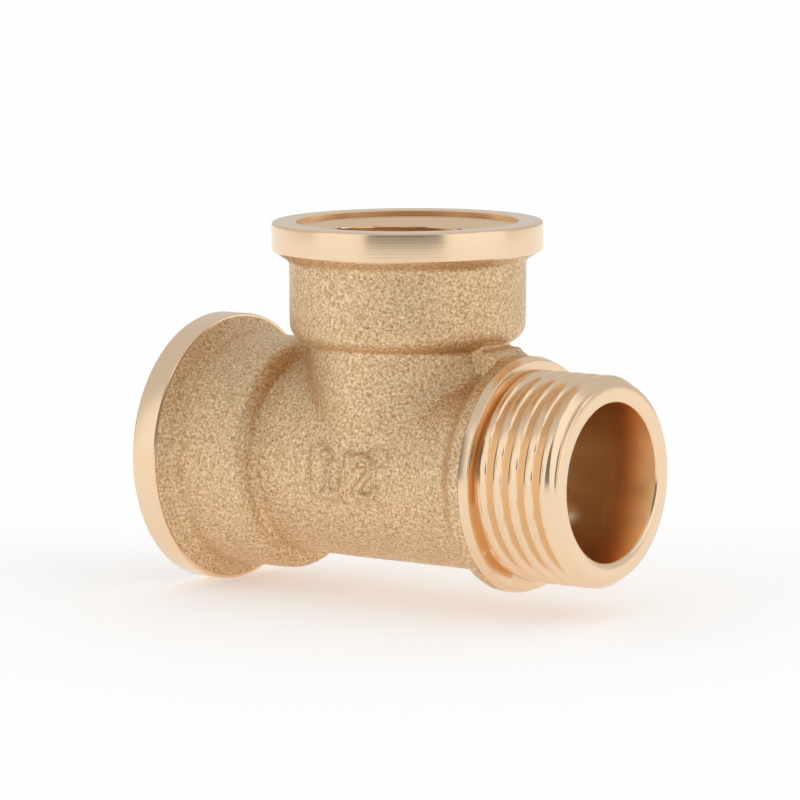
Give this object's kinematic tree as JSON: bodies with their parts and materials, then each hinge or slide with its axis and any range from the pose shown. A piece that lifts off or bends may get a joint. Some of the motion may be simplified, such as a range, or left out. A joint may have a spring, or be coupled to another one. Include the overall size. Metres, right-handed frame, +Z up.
{
  "type": "tee fitting",
  "caption": "Half-inch cast brass pipe tee: its run ends in a threaded socket and in a threaded male spigot with a round collar, and a threaded branch socket rises from its middle.",
  "frame": {"origin": "below the crossing of the run and branch axes, level with the lowest point of the run socket's rim", "axes": "+X along the run, out of the male end; +Z up the branch, out of its mouth; +Y across the fitting, away from the side that carries the raised size mark"},
  "size_m": [0.0494, 0.0274, 0.0382],
  "materials": {
    "cast_brass": "shot-blasted, matt with a fine bright grain",
    "machined_brass": "fine-turned, bright"
  },
  "bodies": {
    "root": {"tee_centre": "cast_brass", "run_socket": "cast_brass", "branch_socket": "cast_brass", "male_spigot": "machined_brass"}
  },
  "joints": []
}
